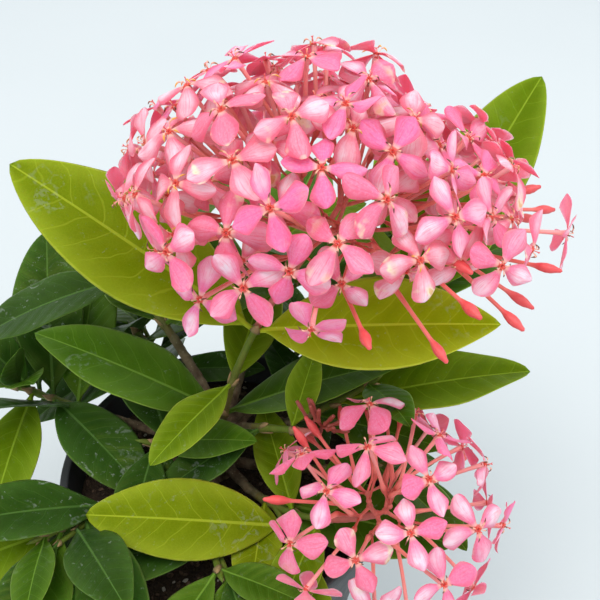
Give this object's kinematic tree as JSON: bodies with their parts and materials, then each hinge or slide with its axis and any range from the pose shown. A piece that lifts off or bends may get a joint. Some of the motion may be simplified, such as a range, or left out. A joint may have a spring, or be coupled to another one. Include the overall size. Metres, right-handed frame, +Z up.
{
  "type": "potted ixora shrub",
  "caption": "Small evergreen flowering shrub with a domed head of pink blossom above a smaller one, glossy leaves on low boughs, standing in a plain round nursery pot of soil.",
  "frame": {"origin": "centre of the pot's flat underside", "axes": "+Z up; +Y away from the picture's viewer; +X to the picture's right"},
  "size_m": [0.2863, 0.2556, 0.3397],
  "materials": {
    "pot_plastic": "dull charcoal, moulded",
    "soil_mix": "loose bark and peat mix, moist",
    "bark": "thin brown bark, matt",
    "foliage": "leathery leaves, glossy above",
    "blossom": "soft pink petals, satin"
  },
  "bodies": {
    "root": {"pot": "pot_plastic", "soil": "soil_mix", "trunk": "bark", "bough_front": "bark", "bough_young": "bark", "bough_right": "bark", "bough_right_back": "bark", "bough_back": "bark", "bough_left_back": "bark", "bough_left": "bark", "bough_left_front": "bark", "bough_low_front": "bark", "bough_low_right": "bark", "bough_low_back": "bark", "bough_low_left": "bark", "bough_inner": "bark", "leaves_top": "foliage", "leaves_front": "foliage", "leaves_young": "foliage", "leaves_right": "foliage", "leaves_right_back": "foliage", "leaves_back": "foliage", "leaves_left_back": "foliage", "leaves_left": "foliage", "leaves_left_front": "foliage", "leaves_low_front": "foliage", "leaves_low_right": "foliage", "leaves_low_back": "foliage", "leaves_low_left": "foliage", "leaves_inner": "foliage", "blossom_top": "blossom", "blossom_front": "blossom", "blossom_young": "blossom"}
  },
  "joints": []
}
